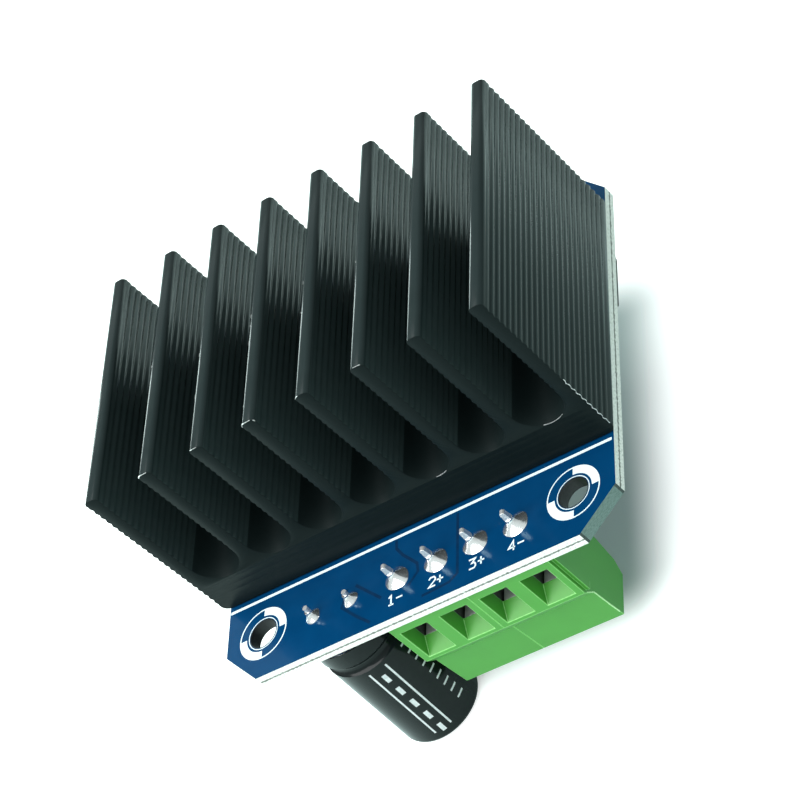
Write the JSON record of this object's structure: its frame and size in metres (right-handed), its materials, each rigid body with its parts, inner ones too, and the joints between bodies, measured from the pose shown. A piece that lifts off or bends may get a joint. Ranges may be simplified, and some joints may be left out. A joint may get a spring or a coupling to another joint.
{
  "type": "dc motor driver module",
  "caption": "DC motor driver module: square blue circuit board under a black ribbed finned heatsink, with a green screw terminal, a capacitor, a pin header and chips on its other face.",
  "frame": {"origin": "Centre of the four corner holes, on the solder face of the board.", "axes": "+X along the terminal edge, +Y from the terminal edge to the header edge, +Z from the solder face to the fin tips."},
  "size_m": [0.051, 0.0508, 0.0427],
  "materials": {
    "black_anodised": "black anodised, satin",
    "thermal_film": "soft white film",
    "blue_board": "blue solder mask, satin gloss",
    "zinc_steel": "zinc plated",
    "green_plastic": "moulded, satin",
    "tinned_brass": "tin plated",
    "can_aluminium": "drawn, bare",
    "dark_sleeve": "shrunk sleeve, glossy",
    "bung_rubber": "matt",
    "tinned_wire": "tin plated",
    "black_plastic": "moulded",
    "gilt_pin": "gold flashed",
    "solder": "bright tin solder",
    "chip_plastic": "epoxy moulding",
    "resistor_ceramic": "glazed black",
    "capacitor_ceramic": "fired, tan"
  },
  "bodies": {
    "module": {"capacitor_bung": "bung_rubber", "capacitor_can": "can_aluminium", "capacitor_leads": "tinned_wire", "capacitor_sleeve": "dark_sleeve", "capacitor_solder": "solder", "chip_capacitors": "capacitor_ceramic", "chip_resistors": "resistor_ceramic", "circuit_board": "blue_board", "contact_1": "tinned_brass", "contact_2": "tinned_brass", "contact_3": "tinned_brass", "contact_4": "tinned_brass", "header_base": "black_plastic", "header_pins": "gilt_pin", "header_solder": "solder", "heatsink": "black_anodised", "heatsink_screw_back": "zinc_steel", "heatsink_screw_front": "zinc_steel", "left_bridge_chip": "chip_plastic", "left_bridge_leads": "tinned_wire", "left_terminal_housing": "green_plastic", "logic_chip": "chip_plastic", "logic_chip_leads": "tinned_wire", "right_bridge_chip": "chip_plastic", "right_bridge_leads": "tinned_wire", "right_terminal_housing": "green_plastic", "terminal_solder": "solder", "thermal_pad": "thermal_film"},
    "screw_1": {"clamp_screw_1": "zinc_steel"},
    "clamp_1": {"wire_clamp_1": "zinc_steel"},
    "screw_2": {"clamp_screw_2": "zinc_steel"},
    "clamp_2": {"wire_clamp_2": "zinc_steel"},
    "screw_3": {"clamp_screw_3": "zinc_steel"},
    "clamp_3": {"wire_clamp_3": "zinc_steel"},
    "screw_4": {"clamp_screw_4": "zinc_steel"},
    "clamp_4": {"wire_clamp_4": "zinc_steel"}
  },
  "joints": [
    {"name": "screw_1_turn", "type": "hinge", "parent": "module", "child": "screw_1", "pos_m": [-0.002, -0.0209, -0.0143], "axis": [0, 0, 1], "range_deg": [0, 2720]},
    {"name": "clamp_1_slide", "type": "slide", "parent": "module", "child": "clamp_1", "axis": [0, 0, -1], "range_m": [0, 0.0034]},
    {"name": "screw_2_turn", "type": "hinge", "parent": "module", "child": "screw_2", "pos_m": [0.003, -0.0209, -0.0143], "axis": [0, 0, 1], "range_deg": [0, 2720]},
    {"name": "clamp_2_slide", "type": "slide", "parent": "module", "child": "clamp_2", "axis": [0, 0, -1], "range_m": [0, 0.0034]},
    {"name": "screw_3_turn", "type": "hinge", "parent": "module", "child": "screw_3", "pos_m": [0.008, -0.0209, -0.0143], "axis": [0, 0, 1], "range_deg": [0, 2720]},
    {"name": "clamp_3_slide", "type": "slide", "parent": "module", "child": "clamp_3", "axis": [0, 0, -1], "range_m": [0, 0.0034]},
    {"name": "screw_4_turn", "type": "hinge", "parent": "module", "child": "screw_4", "pos_m": [0.013, -0.0209, -0.0143], "axis": [0, 0, 1], "range_deg": [0, 2720]},
    {"name": "clamp_4_slide", "type": "slide", "parent": "module", "child": "clamp_4", "axis": [0, 0, -1], "range_m": [0, 0.0034]}
  ],
  "couplings": [
    {"joint": "screw_1_turn", "follows": "clamp_1_slide", "rad_per_m": 13963},
    {"joint": "screw_2_turn", "follows": "clamp_2_slide", "rad_per_m": 13963},
    {"joint": "screw_3_turn", "follows": "clamp_3_slide", "rad_per_m": 13963},
    {"joint": "screw_4_turn", "follows": "clamp_4_slide", "rad_per_m": 13963}
  ]
}
